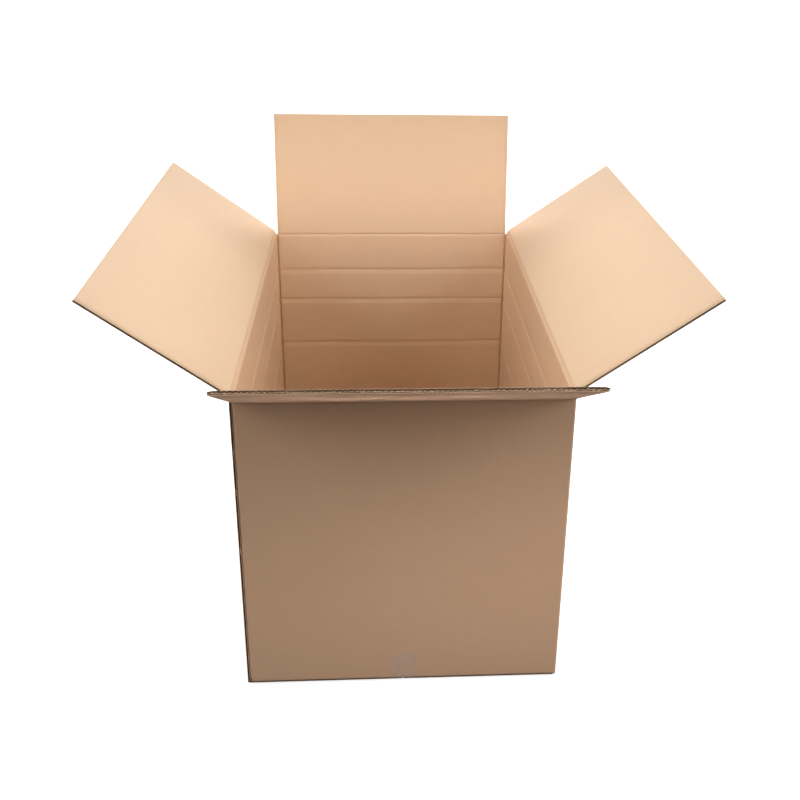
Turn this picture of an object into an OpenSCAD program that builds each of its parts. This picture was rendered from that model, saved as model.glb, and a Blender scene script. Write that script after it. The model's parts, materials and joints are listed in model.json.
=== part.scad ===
// Open slotted carton of double-wall corrugated board, with its top flaps spread.
// One sheet folds into four walls, a glued corner lap and a taped bottom, and four flaps swing on creases.
// X runs across the width, Y from front to back and Z up. The origin is the centre of the underside.

/* [Inside size] */
// Inside width, along the front and back walls
inside_w = 600; // [400:10:650]
// Inside depth, along the left and right walls
inside_d = 1000; // [720:10:1300]
// Inside height, from the inner bottom flaps to the closed top
inside_h = 600; // [420:10:900]

/* [Board] */
// Thickness of the double-wall board
board = 7; // [6:0.1:8]
// Thickness of each of the three flat liners
liner = 0.6; // [0.3:0.1:0.8]
// Height of the fine flutes, next to the outside face
fine_flute = 2.1; // [1.5:0.1:2.6]
// Pitch of the fine flutes
fine_pitch = 6.9; // [6:0.1:8]
// Pitch of the coarse flutes, next to the inside face
coarse_pitch = 8.4; // [7.5:0.1:10]
// Thickness of the fluted paper between two open mouths
web = 0.9; // [0.4:0.1:1.5]
// Depth of the flute mouths in a flap's free edge
mouth_depth = 12; // [4:1:40]
// Depth of the gaps along an edge that is cut parallel to the flutes
gape_depth = 2; // [1:0.5:4]

/* [Folds] */
// Outside radius of a folded edge
fold_r = 5; // [2:0.5:6]
// Radius of the crease pressed into the inside of a fold
crease_r = 1.6; // [0.8:0.1:2.4]
// Gap left on each side of a top flap's crease
crease_gap = 0.2; // [0.1:0.1:0.5]
// Gap between two layers of board that lie on each other
layer_gap = 0.3; // [0.1:0.1:1]
// Room at each side of a flap, cut by the corner slots
slot_clear = 1; // [0.5:0.5:4]
// Gap where two long flaps meet on the centre line
seam_gap = 2; // [0.5:0.5:6]

/* [Height scores] */
// Drop of the upper score below the front crease
upper_score = 96; // [60:1:130]
// Drop of the middle score below the front crease
middle_score = 179; // [150:1:230]
// Drop of the lower score below the front crease
lower_score = 304; // [260:1:360]
// Width of a score groove
score_w = 9; // [3:0.5:14]
// Depth of a score groove
score_depth = 1.8; // [0.5:0.1:2.4]

/* [Glued corner] */
// Width of the lap that is glued inside the left wall
lap_w = 45; // [30:1:60]
// Thickness of the lap after it is pressed
lap_t = 5; // [3:0.5:6]
// Distance of the lap's ends from the floor and from the closed front flap
lap_clear = 6; // [2:1:12]
// Gap between the left wall and the fold of the front wall
lap_mouth = 0.4; // [0.2:0.1:1]

/* [Tape] */
// Width of the clear tape along the bottom seam
tape_w = 50; // [36:1:75]
// Thickness of the tape
tape_t = 0.15; // [0.05:0.05:0.3]
// Height of the tape's ends on the front and back walls
tape_rise = 68; // [40:1:150]

/* [Flap angles from upright, outwards] */
// Front flap
front_open = 62; // [0:1:150]
// Back flap
back_open = 8; // [0:1:150]
// Left flap
left_open = 54; // [0:1:150]
// Right flap
right_open = 55; // [0:1:150]

/* [Hidden] */
$fn = 48;
kraft = [0.86, 0.70, 0.54];
clear_film = [0.80, 0.72, 0.62];
// Overlap that lets a cut pass clean through a face
eps = 0.05;
// Flat pieces along each rounded bend of the tape
tape_steps = 6;
// Sides of the crease that is pressed into the inside of a fold
crease_sides = 8;

outside_w = inside_w + 2 * board;
outside_d = inside_d + 2 * board;
// The front and back bottom flaps fold in first and lie on the long left and right ones
inner_fold = board + layer_gap;
floor_top = inner_fold + board;
// The left and right walls are taller, so that their closed flaps lie over the front and back ones
low_crease = floor_top + inside_h + board;
high_crease = low_crease + board + layer_gap;
flap_l = (outside_w - seam_gap) / 2;
short_w = inside_w - 2 * slot_clear;
long_w = inside_d - 2 * slot_clear;
// Flat board next to a crease is pressed shut, so the cut edges gape only past it
pressed = 2 * board;
coarse_flute = board - 3 * liner - fine_flute;
// Each flute layer as its start from the outside face, its height and its pitch
flute_layers = [
    [liner, fine_flute, fine_pitch],
    [2 * liner + fine_flute, coarse_flute, coarse_pitch]
];
lap_low = floor_top + lap_clear;
lap_high = low_crease - board - lap_clear;

// Places a shape on a wall: X along the wall, Y inwards from its outside face, Z up
module on_wall(turn, reach, height) {
    rotate([0, 0, turn]) translate([0, -reach, height]) children();
}

module on_front(height) { on_wall(0, outside_d / 2, height) children(); }
module on_back(height) { on_wall(180, outside_d / 2, height) children(); }
module on_left(height) { on_wall(-90, outside_w / 2, height) children(); }
module on_right(height) { on_wall(90, outside_w / 2, height) children(); }

// Carries a section, drawn as inwards and up, along the wall from one place to another
module along_wall(from, to) {
    rotate([90, 0, 90]) translate([0, 0, from]) linear_extrude(to - from) children();
}

// What a rounded edge takes off a square corner at the origin
module edge_waste(r) {
    difference() {
        translate([-eps, -eps]) square(r + eps);
        translate([r, r]) circle(r);
    }
}

// Section of the crease in the inside of a fold
module pressed_crease() {
    rotate(180 / crease_sides) circle(crease_r, $fn = crease_sides);
}

// One wall and its bottom flap, folded from one strip, with a mitred top for the flap's crease
module panel(length, rise) {
    wall_top = rise - crease_gap;
    along_wall(-length / 2, length / 2) difference() {
        polygon([
            [0, 0], [flap_l, 0], [flap_l, board], [board, board],
            [board, wall_top - board], [0, wall_top]
        ]);
        edge_waste(fold_r);
        translate([board, board]) pressed_crease();
    }
}

// Upright fold between two walls, drawn from the inside corner outwards
module folded_corner() {
    difference() {
        translate([-slot_clear, -slot_clear]) square(board + slot_clear);
        translate([-slot_clear - eps, -slot_clear - eps]) square(slot_clear + eps);
        translate([board, board]) rotate(180) edge_waste(fold_r);
    }
}

// Corner where the left wall's cut edge meets the fold of the front wall
module glued_corner() {
    translate([0, -slot_clear]) square([board, board + slot_clear]);
    translate([-slot_clear, 0]) square([slot_clear, board]);
}

// Notch between the left wall and the rounded fold of the front wall
module lap_notch() {
    bend = fold_r + lap_mouth;
    translate([-bend, board - fold_r]) difference() {
        square([bend, fold_r + eps]);
        circle(fold_r);
    }
}

// Pressed lap of the front wall, glued to the inside of the left wall
module glue_lap() {
    translate([-inside_w / 2, -inside_d / 2, lap_low]) cube([lap_t, lap_w, lap_high - lap_low]);
}

// Groove of one height score on an inside face, from one place to another along the wall
module score(face, from, to) {
    along_wall(from, to) polygon([
        [face + eps, score_w / 2], [face - score_depth, 0], [face + eps, -score_w / 2]
    ]);
}

// Scores run round all four walls and over the lap
module height_scores() {
    half_w = inside_w / 2;
    half_d = inside_d / 2;
    for (drop = [upper_score, middle_score, lower_score]) {
        height = low_crease - drop;
        on_front(height) score(board, lap_t - half_w, half_w);
        on_back(height) score(board, -half_w, half_w);
        on_right(height) score(board, -half_d, half_d);
        on_left(height) score(board, -half_d, half_d - lap_w);
        on_left(height) score(board + lap_t, half_d - lap_w, half_d);
    }
}

// Creases pressed into the three folded corners and beside the lap
module corner_creases() {
    for (corner = [[1, 1], [-1, 1], [1, -1]])
        translate([corner[0] * inside_w / 2, corner[1] * inside_d / 2, floor_top])
            linear_extrude(low_crease - floor_top) pressed_crease();
    translate([lap_t - inside_w / 2, -inside_d / 2, lap_low])
        linear_extrude(lap_high - lap_low) pressed_crease();
}

// Gaps between the liners along a cut edge at x = 0, running up from z = 0
module edge_gapes(run) {
    for (layer = flute_layers)
        translate([-gape_depth, layer[0], 0]) cube([gape_depth + eps, layer[1], run]);
}

// Both cut ends of a long bottom flap
module bottom_flap_gapes() {
    for (side = [0, 1])
        mirror([side, 0, 0]) translate([long_w / 2, flap_l + eps, 0])
            rotate([90, 0, 0]) edge_gapes(flap_l - pressed);
}

module corner_posts() {
    height = low_crease - crease_gap - inner_fold;
    for (corner = [[1, 1, 0], [-1, 1, 90], [1, -1, -90]])
        translate([corner[0] * inside_w / 2, corner[1] * inside_d / 2, inner_fold])
            rotate(corner[2]) linear_extrude(height) folded_corner();
    translate([-inside_w / 2, -inside_d / 2, inner_fold]) rotate(180)
        linear_extrude(height) glued_corner();
}

// The sheet after folding and gluing
module folded_sheet() {
    on_front(inner_fold) panel(short_w, low_crease - inner_fold);
    on_back(inner_fold) panel(short_w, low_crease - inner_fold);
    on_left(0) panel(long_w, high_crease);
    on_right(0) panel(long_w, high_crease);
    corner_posts();
    glue_lap();
}

// The creases cross the scores at every corner, so the scores are cut first
module scored_sheet() {
    difference() {
        folded_sheet();
        height_scores();
    }
}

module box_body() {
    color(kraft) difference() {
        scored_sheet();
        corner_creases();
        translate([-inside_w / 2, -inside_d / 2, inner_fold - eps]) rotate(180)
            linear_extrude(low_crease - inner_fold) lap_notch();
        on_left(inner_fold - eps) translate([outside_d / 2, 0, 0]) edge_gapes(low_crease);
        on_left(0) bottom_flap_gapes();
        on_right(0) bottom_flap_gapes();
        translate([-tape_w / 2, -long_w / 2 - eps, -eps]) cube([tape_w, long_w + 2 * eps, tape_t + eps]);
    }
}

// Open flute mouths as they show on a free edge, X along the edge and Y inwards
module flute_mouths(width) {
    row = width - 2 * gape_depth - 2 * web;
    for (layer = flute_layers) {
        count = floor(row / layer[2]);
        half = layer[2] / 2 - web / 2;
        for (i = [0 : count - 1])
            translate([(i - (count - 1) / 2) * layer[2], layer[0]])
                polygon([[-half, 0], [half, 0], [0, layer[1]]]);
    }
}

// One top flap, upright on its crease: Y inwards from its outside face, Z up from the crease
module flap(width) {
    difference() {
        along_wall(-width / 2, width / 2) polygon([
            [0, crease_gap], [board, crease_gap + board], [board, flap_l], [0, flap_l]
        ]);
        translate([0, 0, flap_l - mouth_depth]) linear_extrude(mouth_depth + eps) flute_mouths(width);
        for (side = [0, 1])
            mirror([side, 0, 0]) translate([width / 2, 0, pressed]) edge_gapes(flap_l);
    }
}

module front_flap() {
    color(kraft) on_front(low_crease) rotate([front_open, 0, 0]) flap(short_w);
}

module back_flap() {
    color(kraft) on_back(low_crease) rotate([back_open, 0, 0]) flap(short_w);
}

module left_flap() {
    color(kraft) on_left(high_crease) rotate([left_open, 0, 0]) flap(long_w);
}

module right_flap() {
    color(kraft) on_right(high_crease) rotate([right_open, 0, 0]) flap(long_w);
}

// One face of the tape from the middle of the underside to its end on the front wall, lift off the board
function tape_face(lift) =
    let (
        r = fold_r + lift,
        low = [-long_w / 2, tape_t - lift],
        bend = [fold_r - outside_d / 2, inner_fold + fold_r],
        across = bend - low,
        from = atan2(across[1], across[0]) + asin(r / norm(across)) + 90
    )
    concat(
        [low],
        [for (i = [0 : tape_steps])
            let (a = from + (180 - from) * i / tape_steps) bend + r * [cos(a), sin(a)]],
        [[bend[0] - r, tape_rise]]
    );

function reversed(list) = [for (i = [len(list) - 1 : -1 : 0]) list[i]];

function mirrored(list) = [for (p = list) [-p[0], p[1]]];

// Tape along the bottom seam, drawn tight over the step of the bottom flaps and up both short walls
module bottom_tape() {
    outer = tape_face(tape_t);
    inner = tape_face(0);
    color(clear_film) along_wall(-tape_w / 2, tape_w / 2) polygon(concat(
        reversed(outer), mirrored(outer), reversed(mirrored(inner)), inner
    ));
}

box_body();
front_flap();
back_flap();
left_flap();
right_flap();
bottom_tape();
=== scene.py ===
# %% [markdown]
# # A shipping box of double-wall board
# The real box is one sheet of corrugated board: cut, creased, folded round, glued at one corner and taped
# underneath. The frame already holds its sizes and its joints as plain solids. This lesson replaces each
# solid by the papers that it is made of, so that the cut edges show real flutes and each crease is drawn
# bent to the angle at which its flap rests.

# %% Load the frame
import json

import bpy
import numpy as np
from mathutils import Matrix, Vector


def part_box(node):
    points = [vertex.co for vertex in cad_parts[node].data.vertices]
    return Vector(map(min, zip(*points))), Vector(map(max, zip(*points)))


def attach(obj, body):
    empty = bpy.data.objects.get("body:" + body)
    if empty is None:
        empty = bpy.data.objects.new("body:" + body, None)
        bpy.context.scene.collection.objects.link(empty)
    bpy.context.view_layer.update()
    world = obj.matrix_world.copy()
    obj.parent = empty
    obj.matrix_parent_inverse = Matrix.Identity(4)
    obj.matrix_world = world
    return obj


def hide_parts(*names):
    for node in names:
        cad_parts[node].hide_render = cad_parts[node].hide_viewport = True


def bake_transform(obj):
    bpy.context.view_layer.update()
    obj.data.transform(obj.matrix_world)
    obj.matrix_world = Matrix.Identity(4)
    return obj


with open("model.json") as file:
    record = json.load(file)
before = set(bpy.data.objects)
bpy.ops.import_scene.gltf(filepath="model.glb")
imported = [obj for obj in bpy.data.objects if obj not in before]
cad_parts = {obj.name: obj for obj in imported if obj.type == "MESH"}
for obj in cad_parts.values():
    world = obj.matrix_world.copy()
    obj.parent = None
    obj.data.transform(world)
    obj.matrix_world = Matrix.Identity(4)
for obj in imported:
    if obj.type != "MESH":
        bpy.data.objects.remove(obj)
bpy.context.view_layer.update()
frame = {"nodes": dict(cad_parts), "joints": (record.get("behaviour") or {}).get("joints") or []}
MM = 0.001
print("solids in the frame:", ", ".join(sorted(frame["nodes"])))

# %% [markdown]
# ## Measures
# Everything that the solids know is read from them: the outside of the walls, the width of the flaps, and for
# each flap the height of its crease and how far it stands open. A closed flap lies 90 degrees inwards from
# upright, so the rest of its inward travel is the angle at which it rests. Only the papers have sizes of
# their own: three flat liners, and between them a fine and a coarse fluted paper.

# %% Measures of the carton and its board
outer_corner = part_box("box_body")[1]
half_w, half_d = outer_corner.x, outer_corner.y
short_w = 2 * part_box("front_flap")[1].x
long_w = 2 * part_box("left_flap")[1].y

board = 7 * MM
liner = 0.45 * MM
fine_flute = 2.1 * MM
coarse_flute = board - 3 * liner - fine_flute
fine_pitch = 6.9 * MM
coarse_pitch = 8.4 * MM
flute_paper = 0.45 * MM

joints = {joint["child"]: joint for joint in frame["joints"]}
crease_up = {wall: joint["pos_m"][2] for wall, joint in joints.items()}
open_turn = {wall: np.radians(-joint["range_deg"][0] - 90) for wall, joint in joints.items()}
seam_half = 1 * MM
flap_l = half_w - seam_half
flap_w = {"front": short_w, "back": short_w, "left": long_w, "right": long_w}
print("outside", round(2 * half_w, 3), "x", round(2 * half_d, 3), "m, flaps open",
      {wall: round(float(np.degrees(turn))) for wall, turn in open_turn.items()})

# %% [markdown]
# ## Places on a wall
# All four sides are the same job seen from another side. Each piece is therefore drawn on a wall as three
# numbers, along it, inwards from its outside face and up, and one function turns these about Z to the right
# side.

# %% Turn a wall's own measures into places
wall_turn = {"front": 0.0, "back": np.pi, "left": -np.pi / 2, "right": np.pi / 2}
wall_reach = {"front": half_d, "back": half_d, "left": half_w, "right": half_w}


def on_wall(wall, along, inward, up):
    """Place on a wall: (along, inward - reach) turned about Z by the wall's angle, at height up."""
    across = inward - wall_reach[wall]
    cosine, sine = np.cos(wall_turn[wall]), np.sin(wall_turn[wall])
    x = along * cosine - across * sine
    y = along * sine + across * cosine
    return np.stack(np.broadcast_arrays(x, y, up), -1)


print("middle of the right wall:", on_wall("right", 0.0, 0.0, 0.3).round(3))

# %% [markdown]
# ## Closed shells of paper
# Paper has two faces and a rim. If both faces are grids with the same rows and columns, one function can
# close every sheet in this box: it joins the two grids along their border. A flat liner, a wave of fluting
# and a wall that bends round a corner then differ only in their grids. Each shell also carries its place on
# the flat sheet as UV, in metres, so the pulp's pattern runs on over every fold, and a rub value that is high
# on worn edges.

# %% Build shells and join them into a piece
# Slots: outside liner and raw inner faces with painted shade, inside liner, cut rims with a painted
# highlight.
OUTSIDE, INSIDE, RAW_SHADED, CUT_HIGHLIT = 0, 1, 2, 3
sharp_turn = np.radians(40)


def quads_of(grid):
    """Four corners of every cell of a grid of point numbers."""
    return np.stack([grid[:-1, :-1], grid[:-1, 1:], grid[1:, 1:], grid[1:, :-1]], -1).reshape(-1, 4)


def shell(outer, inner, sheet, rub=0.0, finishes=(OUTSIDE, INSIDE, RAW_SHADED)):
    """Closed skin round two grids, facing outwards: outer cells, inner cells turned over, and a rim."""
    rows, cols = outer.shape[:2]
    grid = np.arange(rows * cols).reshape(rows, cols)
    border = np.concatenate([grid[0], grid[1:, -1], grid[-1, -2::-1], grid[-2:0:-1, 0]])
    following = np.roll(border, -1)
    cells = quads_of(grid)
    under = rows * cols
    rim = np.stack([following, border, border + under, following + under], -1)
    points = np.concatenate([outer.reshape(-1, 3), inner.reshape(-1, 3)])
    quads = np.concatenate([cells, cells[:, ::-1] + under, rim])
    a, b, c, d = (points[quads[:, i]] - points.mean(0) for i in range(4))
    volume = np.einsum("ij,ij->", a, np.cross(b, c) + np.cross(c, d))
    if volume < 0:
        quads = quads[:, ::-1]
    finish = np.repeat(finishes, [len(cells), len(cells), len(rim)])
    place = np.concatenate([sheet.reshape(-1, 2)] * 2)
    worn = np.concatenate([np.broadcast_to(rub, (rows, cols)).ravel()] * 2)
    return points, quads, finish, place, worn


def make_piece(name, shells, materials):
    """One mesh object of several shells, with its UV map, its rub attribute and its material slots."""
    starts = np.cumsum([0] + [len(part[0]) for part in shells[:-1]])
    points = np.concatenate([part[0] for part in shells])
    quads = np.concatenate([part[1] + start for part, start in zip(shells, starts)])
    finish = np.concatenate([part[2] for part in shells])
    place = np.concatenate([part[3] for part in shells])
    worn = np.concatenate([part[4] for part in shells])
    mesh = bpy.data.meshes.new(name)
    mesh.from_pydata(points.tolist(), [], quads.tolist())
    mesh.polygons.foreach_set("material_index", finish.astype(np.int32))
    mesh.uv_layers.new(name="sheet").data.foreach_set("uv", place[quads].astype(np.float32).ravel())
    mesh.attributes.new("rub", "FLOAT", "POINT").data.foreach_set("value", worn.astype(np.float32))
    mesh.polygons.foreach_set("use_smooth", np.ones(len(quads), bool))
    mesh.set_sharp_from_angle(angle=sharp_turn)
    for material in materials:
        mesh.materials.append(material)
    piece = bpy.data.objects.new(name, mesh)
    bpy.context.scene.collection.objects.link(piece)
    print(name, "has", len(shells), "shells and", 2 * len(quads), "triangles")
    return piece


# %% [markdown]
# ## Shader maths as expressions
# A material is a sum of small effects, and sums read best as sums. This class wraps one output of a node:
# adding or multiplying two of them adds the Math node, and one method adds any other node.

# %% A value in a material
class Value:
    """One output of a node, on which + and * add Math nodes to the same material."""

    def __init__(self, tree, socket=None):
        self.tree = tree
        self.socket = socket

    def node(self, kind, settings=None, sockets=None, output=0):
        """Adds a node of a kind, sets its settings, then fills its sockets with numbers or links."""
        made = self.tree.nodes.new("ShaderNode" + kind)
        for key, setting in (settings or {}).items():
            setattr(made, key, setting)
        for key, value in (sockets or {}).items():
            if isinstance(value, Value):
                self.tree.links.new(value.socket, made.inputs[key])
            else:
                made.inputs[key].default_value = value
        return Value(self.tree, made.outputs[output] if made.outputs else None)

    def maths(self, operation, first, second=0.0):
        """Adds a Math node on one or two values or numbers."""
        return self.node("Math", {"operation": operation}, {0: first, 1: second})

    def __add__(self, other):
        return self.maths("ADD", self, other)

    def __mul__(self, other):
        return self.maths("MULTIPLY", self, other)

    __radd__ = __add__
    __rmul__ = __mul__

    def ramp(self, low, high):
        """0 below low, 1 above high, and a smooth rise between."""
        sockets = {"Value": self, "From Min": low, "From Max": high}
        return self.node("MapRange", {"interpolation_type": "SMOOTHSTEP"}, sockets)

    def mix(self, first, second):
        """Colour between two others, by this value. A Mix node's colours are inputs 6 and 7 and output 2."""
        return self.node("Mix", {"data_type": "RGBA"}, {0: self, 6: first, 7: second}, output=2)

    def scaled(self, x, y):
        """This place with its two directions multiplied."""
        return self.node("VectorMath", {"operation": "MULTIPLY"}, {0: self, 1: (x, y, 1.0)})

    def noise(self, scale, detail=2.0, roughness=0.5):
        """Cloudy noise at this place."""
        sockets = {"Vector": self, "Scale": scale, "Detail": detail, "Roughness": roughness}
        return self.node("TexNoise", {"noise_dimensions": "2D"}, sockets)


def start_material(name):
    """New material with no nodes, and the place on the flat sheet that its expressions start from."""
    material = bpy.data.materials.new(name)
    material.use_nodes = True
    material.node_tree.nodes.clear()
    return material, Value(material.node_tree).node("UVMap", {"uv_map": "sheet"})


def end_material(start, **sockets):
    """Ends a material in one principled shader with the given sockets."""
    named = {key.replace("_", " "): value for key, value in sockets.items()}
    surface = start.node("BsdfPrincipled", None, named)
    start.node("OutputMaterial", None, {"Surface": surface})


# %% [markdown]
# ## Kraft paper
# A kraft liner isn't one brown. Its pulp settles in soft clouds, long fibres lie mostly along the paper's
# run, and small dark shives are caught in it. The flutes behind it print through as faint lines. Where board
# was bent or handled, the surface is rubbed paler and rougher. Every part of that is a noise at its own real
# scale.

# %% Kraft liners, fluting and the cut edge
def kraft_liner(name, tone, pitch):
    """Kraft: clouds of 5 cm, fibres of 6 mm, shives of 1 mm, lines at the flutes' pitch and rubbed edges."""
    shares = (0.97, 1.03, 1.12, 0.6)
    dark, pale, bare, shive = ((*(share * part for part in tone), 1.0) for share in shares)
    material, place = start_material(name)
    clouds = place.noise(20.0, 4.0, 0.6)
    fibres = place.scaled(900.0, 160.0).noise(1.0, 3.0, 0.6)
    grain = place.noise(2400.0, 1.0)
    shives = place.scaled(420.0, 170.0).noise(1.0).ramp(0.70, 0.78)
    across = place.node("SeparateXYZ", None, {0: place})
    lines = place.maths("SINE", across * (2 * np.pi / pitch))
    rub = place.node("Attribute", {"attribute_name": "rub"}, output="Fac")
    worn = rub * place.noise(70.0, 5.0, 0.7).ramp(0.35, 0.65)
    pulp = (clouds * 0.25 + fibres * 0.45 + grain * 0.3).ramp(0.25, 0.75)
    colour = pulp.mix(dark, pale)
    colour = (shives * 0.3).mix(colour, shive)
    colour = (worn * 0.35).mix(colour, bare)
    height = fibres * 0.5 + grain * 0.3 + lines * 0.4
    bump = place.node("Bump", None, {"Strength": 0.25, "Distance": 0.25 * MM, "Height": height})
    roughness = 0.72 + fibres * 0.12 + worn * 0.1
    end_material(place, Base_Color=colour, Roughness=roughness, Normal=bump, Specular_IOR_Level=0.28)
    return material


def raw_paper(name, dark, pale):
    """Paper with no finish, between two tones, with torn fibres."""
    material, place = start_material(name)
    fibres = place.scaled(1500.0, 500.0).noise(1.0, 3.0, 0.7)
    clouds = place.noise(60.0, 3.0)
    colour = (fibres * 0.6 + clouds * 0.4).ramp(0.3, 0.7).mix((*dark, 1.0), (*pale, 1.0))
    bump = place.node("Bump", None, {"Strength": 0.4, "Distance": 0.2 * MM, "Height": fibres})
    end_material(place, Base_Color=colour, Roughness=0.8 + fibres * 0.15, Normal=bump, Specular_IOR_Level=0.2)
    return material


# The outside and inside liners are one kraft paper: the darker outside tone is painted shade on the outer
# faces.
outside_shaded_tone = (0.60, 0.373, 0.233)
inside_tone = (0.77, 0.545, 0.36)
papers = [kraft_liner("kraft_outside", outside_shaded_tone, fine_pitch),
          kraft_liner("kraft_inside", inside_tone, coarse_pitch),
          # Fluting: a darker brown paper of its own, pushed darker still as painted shade deep in the open
          # flutes.
          raw_paper("fluting", (0.09, 0.055, 0.032), (0.17, 0.105, 0.06)),
          # Cut paper is paler than the liners: a painted highlight where the cut edges of the papers catch
          # the light.
          raw_paper("cut_paper", (0.72, 0.455, 0.28), (0.92, 0.61, 0.39))]
print("papers:", ", ".join(paper.name for paper in papers))

# %% [markdown]
# ## The board of a flap
# Double-wall board is five papers. Three lie flat, and between them two are pressed into waves, the fine one
# next to the outside and the coarse one next to the inside. A picture of flutes on the edge would be quicker,
# but light really falls into the open mouths, so the papers are all here, over the whole flap. Even so, the
# fluting is painted darker than its own brown, as painted shade deep in the mouths, and the cut rims paler,
# as a painted highlight.

# %% Five papers make a board
edge_rim = 2.5 * MM
edge_steps = np.array([0.0, 1.0, 2.5, 5.0])
board_columns = 20
board_rows = 10
flute_steps = 10
cut_back = 0.5 * MM
trim = 0.3 * MM
pinch_share = 0.42
pinch_slope = 4 * MM
gape = 1.6 * MM


def stations(start, end, count):
    """Places from start to end: even ones between, and four close together at each end, where edges wear."""
    sign = np.sign(end - start) * edge_rim
    near = start + sign * edge_steps
    far = end - sign * edge_steps[::-1]
    return np.concatenate([near, np.linspace(near[-1], far[0], count)[1:-1], far])


def edge_rub(u, v, width, far):
    """Rub of a flap: 1 on its free edges, falling to 0 over one and a half rims."""
    inside = np.minimum(width / 2 - np.abs(u), far - v)
    return np.clip(1 - inside / (1.5 * edge_rim), 0, 1)


def pinch(u, width):
    """Share of the board's thickness that is left: all, but little over half at a slotted side edge."""
    return 1 - pinch_share * np.exp(-(width / 2 - np.abs(u)) / pinch_slope)


def flute_shell(place, width, near, far, layer, sheet_at, bow, rows):
    """Fluted paper: start + height * (1 + cos(2 pi u / pitch)) / 2, carried straight along the flutes."""
    start, height, pitch = layer
    across = np.linspace(gape - width / 2, width / 2 - gape, int(width / pitch * flute_steps))
    u, v = np.meshgrid(across, np.linspace(near, far - trim - cut_back, rows))
    crest = start + (height - flute_paper) * (1 + np.cos(2 * np.pi * u / pitch)) / 2
    low, high = (pinch(u, width) * level + bow(u, v) for level in (crest, crest + flute_paper))
    sheet = np.stack([sheet_at[0] + u, sheet_at[1] + v], -1)
    return shell(place(u, v, low), place(u, v, high), sheet, 0.0, (RAW_SHADED, RAW_SHADED, CUT_HIGHLIT))


def board_shells(place, width, near, far, sheet_at, bow, flute_rows):
    """Three liners and two fluted papers, from near to far along the flutes and as wide as given."""
    u, v = np.meshgrid(stations(-width / 2, width / 2, board_columns), stations(near, far - trim, board_rows))
    sheet = np.stack([sheet_at[0] + u, sheet_at[1] + v], -1)
    rub = edge_rub(u, v, width, far)
    middle = liner + fine_flute
    liners = [(0.0, (OUTSIDE, RAW_SHADED, CUT_HIGHLIT)), (middle, (RAW_SHADED, RAW_SHADED, CUT_HIGHLIT)), (board - liner, (RAW_SHADED, INSIDE, CUT_HIGHLIT))]
    shells = []
    for start, finishes in liners:
        low, high = (pinch(u, width) * level + bow(u, v) for level in (start, start + liner))
        shells.append(shell(place(u, v, low), place(u, v, high), sheet, rub, finishes))
    flutes = [(liner, fine_flute, fine_pitch), (middle + liner, coarse_flute, coarse_pitch)]
    for layer in flutes:
        shells.append(flute_shell(place, width, near, far, layer, sheet_at, bow, flute_rows))
    return shells


# %% [markdown]
# ## Top flaps
# A flap starts a little way from its crease, because the last few millimetres belong to the bend. It is drawn
# upright on its crease and leaned outwards by the angle at which it rests. Board is never quite flat, so each
# flap also bows towards its free edge, the short ones more than the long ones, because those close on top of
# them.

# %% Four top flaps on their bodies
crease_zone = 16 * MM
long_panel = 1.02
short_panel = 0.62
sheet_start = {"left": 0.0, "back": long_panel, "right": long_panel + short_panel,
               "front": 2 * long_panel + short_panel}
flap_bow = {"front": 0.4 * MM, "back": 0.8 * MM, "left": 0.2 * MM, "right": 0.2 * MM}
bow_taper = 1.6


def leaned(wall, along, inward, up):
    """Place on a flap: (inward, up) turned outwards about the crease by the flap's open angle."""
    cosine, sine = np.cos(open_turn[wall]), np.sin(open_turn[wall])
    return on_wall(wall, along, inward * cosine - up * sine, crease_up[wall] + inward * sine + up * cosine)


for wall, width in flap_w.items():
    def place(u, v, n, wall=wall):
        """Place on this flap: u along its crease, v away from the crease and n through the board."""
        return leaned(wall, u, n, v)

    def bow(u, v, width=width, rise=flap_bow[wall]):
        """Bow of this flap: rise * reach squared, times 1 less the square of taper * u / width."""
        reach = (v - crease_zone) / (flap_l - crease_zone)
        return rise * reach ** 2 * (1 - (bow_taper * u / width) ** 2)

    sheet_at = (sheet_start[wall] + width / 2, crease_up[wall])
    shells = board_shells(place, width, crease_zone, flap_l, sheet_at, bow, flute_rows=5)
    flap = make_piece(wall + "_flap_board", shells, papers)
    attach(flap, wall)
    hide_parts(wall + "_flap")

# %% [markdown]
# ## Creases that bend
# A crease is where the board was crushed, and it is the only hinge that a flap has. The press leaves a groove
# on both faces: a narrow valley inside, three millimetres deep, and a dip outside, which runs out at the
# slots. Most of the valley is close to the line, so the rows of the strip crowd there. The strip is a piece
# of its own, drawn bent to the angle at which its flap rests. Only its middle bends. Its outer parts stay
# flat, or the board would look like rubber.

# %% One strip of bent board along each crease
crushed = 4 * MM
crush_slope = 2 * MM
leg_rows = 12
leg_crowding = 1.6
bend_rows = 7
press_depth = 2.4 * MM
press_half = 3 * MM
press_end = 12 * MM
bend_zone = 5 * MM


def hollow(run, half):
    """Smooth dip: 1 where run is 0, and 0 from half on either side."""
    return (1 + np.cos(np.pi * np.clip(run / half, -1, 1))) / 2


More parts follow.
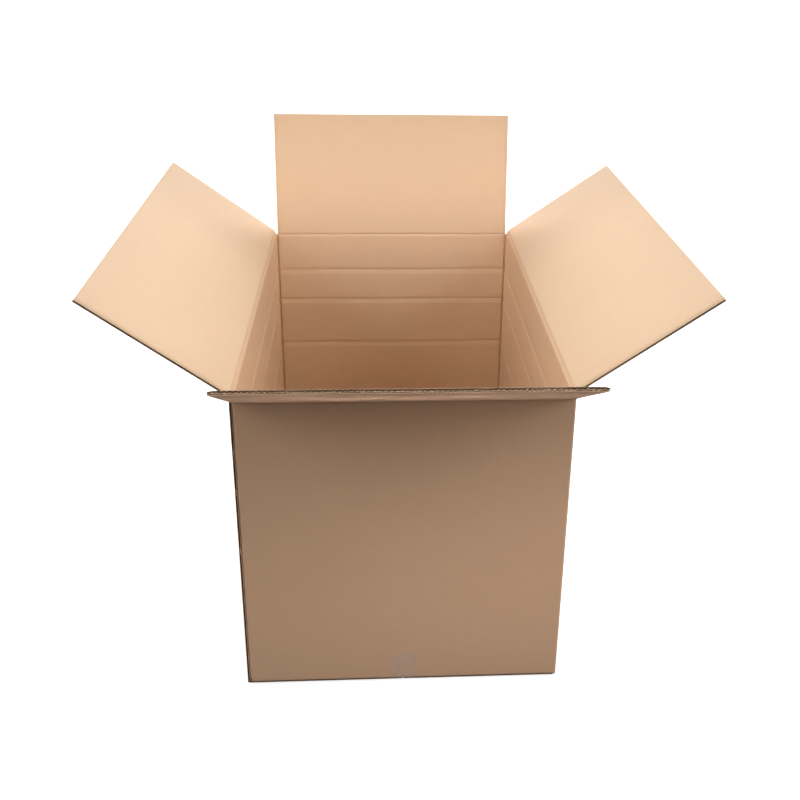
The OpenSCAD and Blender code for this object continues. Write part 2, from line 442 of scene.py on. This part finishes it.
def crease_skins(angle):
    """Both skins of a crease as (inward, up) from its axis, the dip of the outer one, and how far along the
    sheet each point lies: outside straight up the wall and the flap, inside at the board's thickness, which
    falls as exp(-distance / slope) to the crushed one, and round an arc."""
    flap_way = np.array([-np.sin(angle), np.cos(angle)])
    flap_in = np.array([np.cos(angle), np.sin(angle)])
    inwards = np.array([np.cos(angle / 2), np.sin(angle / 2)])
    leg = crease_zone * np.linspace(0, 1, leg_rows + 1)[1:] ** leg_crowding
    run = np.concatenate([-leg[::-1], leg[0] * np.linspace(-1, 1, bend_rows + 2)[1:-1], leg])
    outer = np.where(run[:, None] < 0, run[:, None] * np.array([0.0, 1.0]), run[:, None] * flap_way)
    dip = press_depth * hollow(run, press_half)[:, None] * inwards
    last = np.exp(-crease_zone / crush_slope)
    thick = board - (board - crushed) * (np.exp(-leg / crush_slope) - last) / (1 - last)
    arc = np.linspace(0, angle, bend_rows)
    wall_leg = np.stack([thick, -leg], -1)[::-1]
    bend = crushed * np.stack([np.cos(arc), np.sin(arc)], -1)
    flap_leg = thick[:, None] * flap_in + leg[:, None] * flap_way
    return outer, dip, np.concatenate([wall_leg, bend, flap_leg]), run


for wall, width in flap_w.items():
    outer, dip, inner, run = crease_skins(open_turn[wall])
    along = stations(-width / 2, width / 2, board_columns)
    depth = 1 - np.exp(-(width / 2 - np.abs(along)) / press_end)
    outer_grid = on_wall(wall, along, outer[:, :1] + depth * dip[:, :1],
                         crease_up[wall] + outer[:, 1:] + depth * dip[:, 1:])
    inner_grid = on_wall(wall, along, inner[:, :1], crease_up[wall] + inner[:, 1:])
    inner_grid = outer_grid + (inner_grid - outer_grid) * pinch(along, width)[:, None]
    u, v = np.meshgrid(sheet_start[wall] + width / 2 + along, crease_up[wall] + run)
    rub = np.broadcast_to(hollow(run, press_half)[:, None], u.shape)
    skin = shell(outer_grid, inner_grid, np.stack([u, v], -1), rub)
    crease = make_piece(wall + "_crease_fold", [skin], papers)
    half_turn = open_turn[wall] / 2
    step = bend_zone * np.cos(half_turn) * np.array([-np.sin(half_turn), np.cos(half_turn)])
    start = on_wall(wall, 0.0, -step[0], crease_up[wall] - step[1])
    end = on_wall(wall, 0.0, step[0], crease_up[wall] + step[1])
    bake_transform(crease)

# %% [markdown]
# ## Walls
# The four walls and the glue lap are one strip of board, so they are one shell that is carried round the plan
# of the box: from the left wall's cut edge, back, round three folds and along the front, then round the last
# fold into the lap that is glued inside the left wall. Each column of the grid knows how far down and up the
# board goes there. Three scores are pressed into the inside, where the box can be cut down to a lower height.

# %% Measures of the strip
layer_gap = 0.3 * MM
inner_fold = board + layer_gap
fold_r = 5 * MM
fold_zone = 10 * MM
fold_steps = 7
wall_stations = 30
tape_room = 0.2 * MM
lap_w = 45 * MM
lap_t = 4.8 * MM
lap_clear = 6 * MM
glued_t = 4.2 * MM
glue_gap = 0.2 * MM
edge_slot = 8 * MM
slot_step = 0.3 * MM
corner_press = 3.8 * MM
corner_half = 4.2 * MM
corner_reach = 0.6 * MM
post_clear = 0.2 * MM
post_top = crease_up["front"] - post_clear
inside_half = {"front": half_w - board, "back": half_w - board,
               "left": half_d - board, "right": half_d - board}
next_wall = {"left": "back", "back": "right", "right": "front"}
print("inside", round(2 * inside_half["front"], 3), "x", round(2 * inside_half["left"], 3), "m")


# %% Columns along a wall and round a fold
def straight(wall, start, end, count, bottom, top, faces=(0.0, board), corner=corner_press):
    """Columns along a wall from start to end, three where count is 0: outer and inner plan, bottom and top,
    place along the sheet, share of the wall's bow, 1 - (along / half) squared, and rub."""
    along = stations(start, end, count) if count else np.linspace(start, end, 3)
    outer = on_wall(wall, along, faces[0], 0.0)[:, :2]
    near_corner = np.maximum(inside_half[wall] - np.abs(along), 0)
    press = corner * hollow(near_corner, corner_half)
    inner = on_wall(wall, along, faces[1] - press, 0.0)[:, :2]
    half = flap_w[wall] / 2
    swell = np.clip(1 - (along / half) ** 2, 0, 1) if faces[0] == 0 else np.zeros(len(along))
    ones = np.ones(len(along))
    return outer, inner, bottom * ones, top * ones, sheet_start[wall] + half - along, swell, 0.0 * ones


def fold(wall, inner_at, outer_at, bottom, top):
    """Columns round a fold at a wall's far end: an arc outside, and a pressed corner inside."""
    turn = np.linspace(0, np.pi / 2, fold_steps)
    arc_along = outer_at + fold_r - fold_r * np.sin(turn)
    arc_inward = fold_r - fold_r * np.cos(turn)
    outer = on_wall(wall, arc_along, arc_inward, 0.0)[:, :2]
    side = np.linspace(-1, 1, fold_steps) * (corner_reach + corner_press)
    corner_along = inner_at - corner_press - np.minimum(side, 0)
    corner_inward = board - corner_press + np.maximum(side, 0)
    inner = on_wall(wall, corner_along, corner_inward, 0.0)[:, :2]
    ones = np.ones(len(turn))
    sheet = sheet_start[wall] + flap_w[wall] + fold_r * turn
    rub = hollow(turn - np.pi / 4, np.pi / 3)
    return outer, inner, bottom * ones, top * ones, sheet, 0.0 * ones, rub


def wall_columns(wall, base, end_at):
    """One wall between its two corners, from the crease's strip down to the strip of the bottom fold."""
    half = flap_w[wall] / 2
    return straight(wall, half, end_at, wall_stations, base + fold_zone, crease_up[wall] - crease_zone)


def post_columns(wall):
    """Board beside a flap's slot: from the flap's edge to the fold, round it and on to the next flap."""
    inside_end = -inside_half[wall]
    fold_at = max(inside_end - board + fold_r, inside_end + corner_reach)
    beside = straight(wall, -flap_w[wall] / 2 - slot_step, fold_at, 0, inner_fold, post_top)
    bend = fold(wall, inside_end, inside_end - board, inner_fold, post_top)
    beyond = next_wall[wall]
    onward_at = inside_half[beyond] - corner_reach
    onward = straight(beyond, onward_at, flap_w[beyond] / 2 + slot_step, 0, inner_fold, post_top)
    return [beside, bend, onward]


# %% Plan of the strip, column by column
glued_faces = (0.0, glued_t)
glued_core = (liner, glued_t - liner)
lap_faces = (glued_t + glue_gap, glued_t + glue_gap + lap_t)
lap_edge = inside_half["left"] - lap_w
thin_end = lap_edge - 1 * MM
full_start = lap_edge - 5 * MM
lap_fold_at = lap_faces[1] - half_w
lap_bottom = inner_fold + board + lap_clear
lap_top = crease_up["front"] - board - lap_clear
wall_bottom = tape_room + fold_zone
wall_top = crease_up["left"] - crease_zone
columns = [straight("left", half_d - edge_slot, half_d, 0, inner_fold, post_top, glued_core, 0.0),
           straight("left", half_d, long_w / 2 + slot_step, 0, inner_fold, post_top, glued_faces, 0.0),
           straight("left", long_w / 2, thin_end, 0, wall_bottom, wall_top, glued_faces, 0.0),
           straight("left", full_start, -long_w / 2, wall_stations, wall_bottom, wall_top),
           *post_columns("left"),
           wall_columns("back", inner_fold, -short_w / 2),
           *post_columns("back"),
           wall_columns("right", tape_room, -long_w / 2),
           *post_columns("right"),
           wall_columns("front", inner_fold, lap_fold_at + corner_reach),
           fold("front", lap_fold_at, lap_faces[0] - half_w, inner_fold + fold_zone, post_top),
           straight("left", half_d - fold_r, lap_edge, 0, lap_bottom, lap_top, lap_faces)]
joined = [np.concatenate(part) for part in zip(*columns)]
outer_plan, inner_plan, bottom, top, sheet_u, swell, corner_rub = joined
print("columns round the box:", len(sheet_u))

# %% [markdown]
# The rows of the grid lie close together at the scores and far apart between them. A score is a pressed line:
# the board curls into it from above and slopes out of it below, for about a centimetre. No press is even, so
# its depth and its height wander a little along the wall. The walls also bow by a millimetre or two, as board
# does.

# %% Rows of the strip, and the walls as one shell
score_drops = (96 * MM, 179 * MM, 304 * MM)
scores = [crease_up["front"] - drop for drop in score_drops]
score_depth = 2.6 * MM
score_above = 4 * MM
score_below = 12 * MM
score_zone = 16 * MM
score_rows = 23
score_crowding = 1.5
spread_rows = 24
row_gap = 2 * MM
# Size, rate along the sheet and phase of each wave
depth_waves = [(0.18, 31, 90), (0.12, 83, 40)]
height_waves = [(0.5 * MM, 17, 60), (0.3 * MM, 57, 0)]
wall_swell = -1.6 * MM
spacing = np.linspace(-1, 1, score_rows)
near_score = score_zone * np.sign(spacing) * np.abs(spacing) ** score_crowding
spread = np.linspace(bottom.max() + row_gap, top.min() - row_gap, spread_rows)
clear = np.min(np.abs(spread[:, None] - np.array(scores)), axis=1) > score_zone + row_gap
shared = np.sort(np.concatenate([spread[clear], *(score + near_score for score in scores)]))
up = np.concatenate([bottom[None], np.repeat(shared[:, None], len(bottom), 1), top[None]])


def wander(waves, score):
    """Sum of waves along the sheet, size * sin(rate * place + phase * score), so no two scores are alike."""
    return sum(size * np.sin(rate * sheet_u + phase * score) for size, rate, phase in waves)


def score_press(score):
    """Depth of one score, whose line wanders along the sheet: exp(-height / above) over the line, and a
    straight slope that is gone at a distance of below under it."""
    depth = score_depth * (1 + wander(depth_waves, score))
    over = up - score - wander(height_waves, score)
    return depth * np.where(over > 0, np.exp(-over / score_above), np.clip(1 + over / score_below, 0, 1))


pressed = sum(score_press(score) for score in scores)
outwards = outer_plan - inner_plan
outwards = outwards / np.linalg.norm(outwards, axis=1, keepdims=True)
belly = np.sin(np.pi * (up - bottom) / (top - bottom)) ** 2 * swell
outer_xy = outer_plan + outwards * (wall_swell * belly)[..., None]
inner_xy = inner_plan + outwards * (wall_swell * belly + pressed)[..., None]
outer_grid = np.concatenate([outer_xy, up[..., None]], -1)
inner_grid = np.concatenate([inner_xy, up[..., None]], -1)
sheet = np.stack(np.broadcast_arrays(sheet_u, up), -1)
wall_shells = [shell(outer_grid, inner_grid, sheet, corner_rub)]
print("rows up the walls:", len(up))

# %% [markdown]
# ## The bottom
# The front and back bottom flaps fold in first. The long left and right ones lie under them and meet on the
# centre line, where the tape holds them. Each hangs on its wall by a fold: a round edge outside and a pressed
# crease inside.

# %% Bottom folds and flaps, joined to the walls as one sheet
fold_press_half = 2 * MM
fold_rub = 0.8
bottom_sheet = -1.0


def fold_skins():
    """Both skins of a bottom fold as (inward, up): a quarter circle outside, a pressed corner inside."""
    turn = np.linspace(0, np.pi / 2, fold_steps)
    arc = fold_r * np.stack([1 - np.cos(turn), 1 - np.sin(turn)], -1)
    outer = np.concatenate([[[0.0, fold_zone]], arc, [[fold_zone, 0.0]]])
    run = np.linspace(-1, 1, fold_steps) * fold_press_half
    press = corner_press * hollow(run, fold_press_half) / np.sqrt(2)
    corner = np.stack([board + np.maximum(run, 0) - press, board - np.minimum(run, 0) - press], -1)
    inner = np.concatenate([[[board, fold_zone]], corner, [[fold_zone, board]]])
    return outer, inner


def bottom_shells(wall, base):
    """A wall's bottom fold and the flap that hangs on it, lying at a height of base."""
    width = flap_w[wall]
    outer, inner = fold_skins()
    along = stations(-width / 2, width / 2, board_columns)
    outer_grid = on_wall(wall, along, outer[:, :1], base + outer[:, 1:])
    inner_grid = on_wall(wall, along, inner[:, :1], base + inner[:, 1:])
    run = np.linspace(1, -1, len(outer))
    u, v = np.meshgrid(sheet_start[wall] + width / 2 - along, base + fold_zone * run)
    rub = np.broadcast_to(hollow(run, fold_rub)[:, None], u.shape)
    bent = shell(outer_grid, inner_grid, np.stack([u, v], -1), rub)

    def place(u, v, n):
        """Place on this flap: u along its fold, v inwards and n up through the board."""
        return on_wall(wall, u, v, base + n)

    def level(u, v):
        """No bow, because this flap lies flat."""
        return 0.0 * u

    sheet_at = (sheet_start[wall] + width / 2, bottom_sheet)
    return [bent, *board_shells(place, width, fold_zone, flap_l, sheet_at, level, flute_rows=2)]


for wall in flap_w:
    wall_shells += bottom_shells(wall, inner_fold if wall in ("front", "back") else tape_room)
carton = make_piece("carton_body", wall_shells, papers)
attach(carton, "box")
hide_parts("box_body")

# %% [markdown]
# ## Tape
# One strip of clear film closes the seam underneath and climbs a hand's width up the front and back walls. On
# kraft board it hardly shows: it greys the paper a little and shines at a low angle. Its ends were torn on a
# toothed cutter, so they are zigzag.

# %% Clear film over the bottom seam
tape_rise = 68 * MM
tape_half = 25 * MM
tape_film = 0.06 * MM
film_gap = 0.05 * MM
tape_tooth = 0.8 * MM
tape_columns = 41
tape_bend_steps = 9
roll_step = 0.05


def tape_route(lift):
    """Film from its end on the front wall to the middle of the underside, as (inward, up): down the wall,
    round the fold and straight to the edge of the long flaps."""
    radius = fold_r + lift
    edge = np.array([half_d - long_w / 2, tape_room - lift])
    bend = np.array([fold_r, inner_fold + fold_r])
    across = bend - edge
    touch = np.arctan2(across[1], across[0]) + np.arcsin(radius / np.linalg.norm(across)) + np.pi / 2
    angle = np.linspace(np.pi, touch, tape_bend_steps)
    arc = bend + radius * np.stack([np.cos(angle), np.sin(angle)], -1)
    on_front = [[-lift, tape_rise], [-lift, tape_rise / 2]]
    underneath = [edge, [half_d, tape_room - lift]]
    return np.concatenate([on_front, arc, underneath])


def tape_grid(lift):
    """The route and its mirror image at the back, carried across the tape, with toothed ends."""
    half_route = tape_route(lift)
    mirrored = half_route[-2::-1] * np.array([-1.0, 1.0]) + np.array([2 * half_d, 0.0])
    route = np.concatenate([half_route, mirrored])
    across = np.linspace(-tape_half, tape_half, tape_columns)
    up = np.repeat(route[:, 1:], tape_columns, 1)
    up[[0, -1], 1::2] -= tape_tooth
    return on_wall("front", across, route[:, :1], up)


def clear_tape(name):
    """Clear film: mostly see-through, glossy, with faint streaks from its roll."""
    material, place = start_material(name)
    streaks = place.scaled(500.0, 14.0).noise(1.0, 3.0)
    alpha = 0.07 + streaks * 0.09
    end_material(place, Base_Color=(0.70, 0.60, 0.53, 1.0), Roughness=0.12 + streaks * 0.14, Alpha=alpha,
                 Specular_IOR_Level=0.5)
    return material


outer_grid, inner_grid = tape_grid(film_gap + tape_film), tape_grid(film_gap)
sheet = np.stack(np.broadcast_arrays(outer_grid[..., 0], np.arange(len(outer_grid))[:, None] * roll_step), -1)
film = make_piece("seam_tape_film", [shell(outer_grid, inner_grid, sheet, 0.0, (0, 0, 0))],
                  [clear_tape("clear_film")])
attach(film, "box")
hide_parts("bottom_tape")

# %% [markdown]
# ## Floor and backdrop
# The box stands on a white floor, with a round white wall far behind it. A lit white floor would throw light
# into every shade of the box, and how much of it couldn't be set. These two sheets are therefore seen but
# throw no light on the box, and a glow of their own keeps them white.

# %% White floor and round wall
def pale_paint(name, glow):
    """Nearly white paint with a very faint unevenness and a glow of its own."""
    material, place = start_material(name)
    tone = place.noise(2.0, 2.0).mix((0.94, 0.94, 0.94, 1.0), (0.96, 0.96, 0.96, 1.0))
    end_material(place, Base_Color=tone, Roughness=0.8, Specular_IOR_Level=0.2,
                 Emission_Color=(1.0, 1.0, 1.0, 1.0), Emission_Strength=glow)
    return material


def stage_sheet(name, grid, glow):
    """White sheet of the studio over a grid of places. It is seen, but neither lights nor shades the box."""
    mesh = bpy.data.meshes.new(name)
    quads = quads_of(np.arange(grid[..., 0].size).reshape(grid.shape[:2]))
    points = grid.reshape(-1, 3)
    mesh.from_pydata(points.tolist(), [], quads.tolist())
    mesh.uv_layers.new(name="sheet").data.foreach_set("uv", points[quads][..., :2].astype(np.float32).ravel())
    mesh.materials.append(pale_paint(name + "_paint", glow))
    sheet = bpy.data.objects.new(name, mesh)
    bpy.context.scene.collection.objects.link(sheet)
    sheet.visible_diffuse = False
    return sheet


room_half = 40.0
backdrop_high = 30.0
ring_steps = 49
floor_x, floor_y = np.meshgrid([-room_half, room_half], [-room_half, room_half])
stage_sheet("floor", np.stack([floor_x, floor_y, 0.0 * floor_x], -1), glow=0.5)
ring_turn, ring_up = np.meshgrid(np.linspace(0, 2 * np.pi, ring_steps), [0.0, backdrop_high])
ring_grid = np.stack([room_half * np.cos(ring_turn), room_half * np.sin(ring_turn), ring_up], -1)
backdrop = stage_sheet("backdrop", ring_grid, glow=1.0)
backdrop.visible_glossy = False
backdrop.visible_shadow = False
print("the wall stands", room_half, "m away and is", backdrop_high, "m high")

# %% [markdown]
# ## Soft light from all round
# A room of lamps could be modelled, but soft lamps that stand far away are only bright patches of the sky
# round the box, so they are written into the world: one on each side in front, which bring light under the
# front flap from both ends, a weaker one ahead, and a strong low one behind, which grazes the spread flaps.

# %% Bright patches in the world
horizon = 0.02
world = bpy.data.worlds.new("studio")
world.use_nodes = True
world.node_tree.nodes.clear()
way = Value(world.node_tree).node("TexCoord")


def softbox(azimuth, rise, inner, outer):
    """Glow round one direction of the room, 0 to 1: full within the inner angle, gone past the outer one."""
    turn, tilt = np.radians((azimuth, rise))
    centre = (np.sin(turn) * np.cos(tilt), -np.cos(turn) * np.cos(tilt), np.sin(tilt))
    near = way.node("VectorMath", {"operation": "DOT_PRODUCT"}, {0: way, 1: centre}, output="Value")
    return near.ramp(np.cos(np.radians(outer)), np.cos(np.radians(inner)))


upper = way.node("SeparateXYZ", None, {0: way}, output="Z").ramp(-horizon, horizon)
sides = softbox(-60, 30, 12, 30) * 3.0 + softbox(60, 30, 12, 30) * 3.1
behind = softbox(180, 20, 15, 40) * 6.4
ahead = softbox(0, 45, 12, 30) * 0.56
glow = upper * (ahead + sides + behind)
background = way.node("Background", None, {"Color": (1.0, 1.0, 1.0, 1.0), "Strength": glow})
way.node("OutputWorld", None, {"Surface": background})
bpy.context.scene.world = world
print("nodes in the world:", len(world.node_tree.nodes))


# %% [markdown]
# ## Lamps close to the box
# Seven lamps with a place of their own finish the light. A gridded one lights the back flap, one high above
# each side flap evens it out, and a faint one reaches the front wall from the right. A strip on the floor
# stands for the light that a white floor throws up. Two narrow ones pick out the underside and the cut edge
# of the front flap.

# %% Seven lamps
def panel(name, place, aim, size, spread, power):
    """Rectangular light that faces its aim, out of the camera's sight. A small spread acts as a grid."""
    light = bpy.data.lights.new(name, "AREA")
    light.shape = "RECTANGLE"
    light.size, light.size_y = size
    light.spread = np.radians(spread)
    light.energy = power
    lamp = bpy.data.objects.new(name, light)
    lamp.location = place
    x, y, z = np.array(aim) - np.array(place)
    lamp.rotation_euler = (np.arctan2(np.hypot(x, y), -z), 0.0, np.arctan2(-x, y))
    lamp.visible_camera = False
    bpy.context.scene.collection.objects.link(lamp)
    print(name, "at", place)


panel("back_flap_lamp", (0.0, -4.5, 1.9), (0.0, 0.53, 0.81), size=(1.0, 0.3), spread=8.5, power=0.45)
panel("front_wall_lamp", (1.5, -1.5, 0.9), (0.32, -0.5, 0.28), size=(0.4, 0.4), spread=30.0, power=0.26)
for side, x in (("left", -0.44), ("right", 0.44)):
    panel(side + "_flap_lamp", (x, -0.25, 3.6), (x, -0.25, 0.8), size=(0.24, 0.9), spread=6.0, power=0.11)
panel("floor_light", (0.0, -0.95, 0.01), (0.0, -0.95, 1.0), size=(1.6, 0.5), spread=180.0, power=0.8)
panel("under_flap_lamp", (0.0, -0.98, 0.02), (0.0, -0.64, 0.69), size=(0.56, 0.02), spread=22.0, power=0.11)
panel("edge_lamp", (0.0, -1.35, 2.9), (0.0, -0.8, 0.77), size=(0.9, 0.03), spread=3.0, power=0.13)

# %% [markdown]
# ## Camera
# The camera stands where a person would, looking down into the box. The box isn't in the middle of the
# picture, so the lens is shifted, which moves the picture and leaves the perspective as it is.

# %% Camera
camera = bpy.data.cameras.new("camera")
camera.lens = 47.617
camera.shift_x = -0.0517
camera.shift_y = -0.0383
viewer = bpy.data.objects.new("camera", camera)
viewer.location = (-0.0585, -2.1863, 1.4339)
viewer.rotation_euler = np.radians((65.948, -1.073, -3.679))
bpy.context.scene.collection.objects.link(viewer)
bpy.context.scene.camera = viewer
bpy.context.scene.view_settings.view_transform = "Standard"
print("camera at", viewer.location[:])
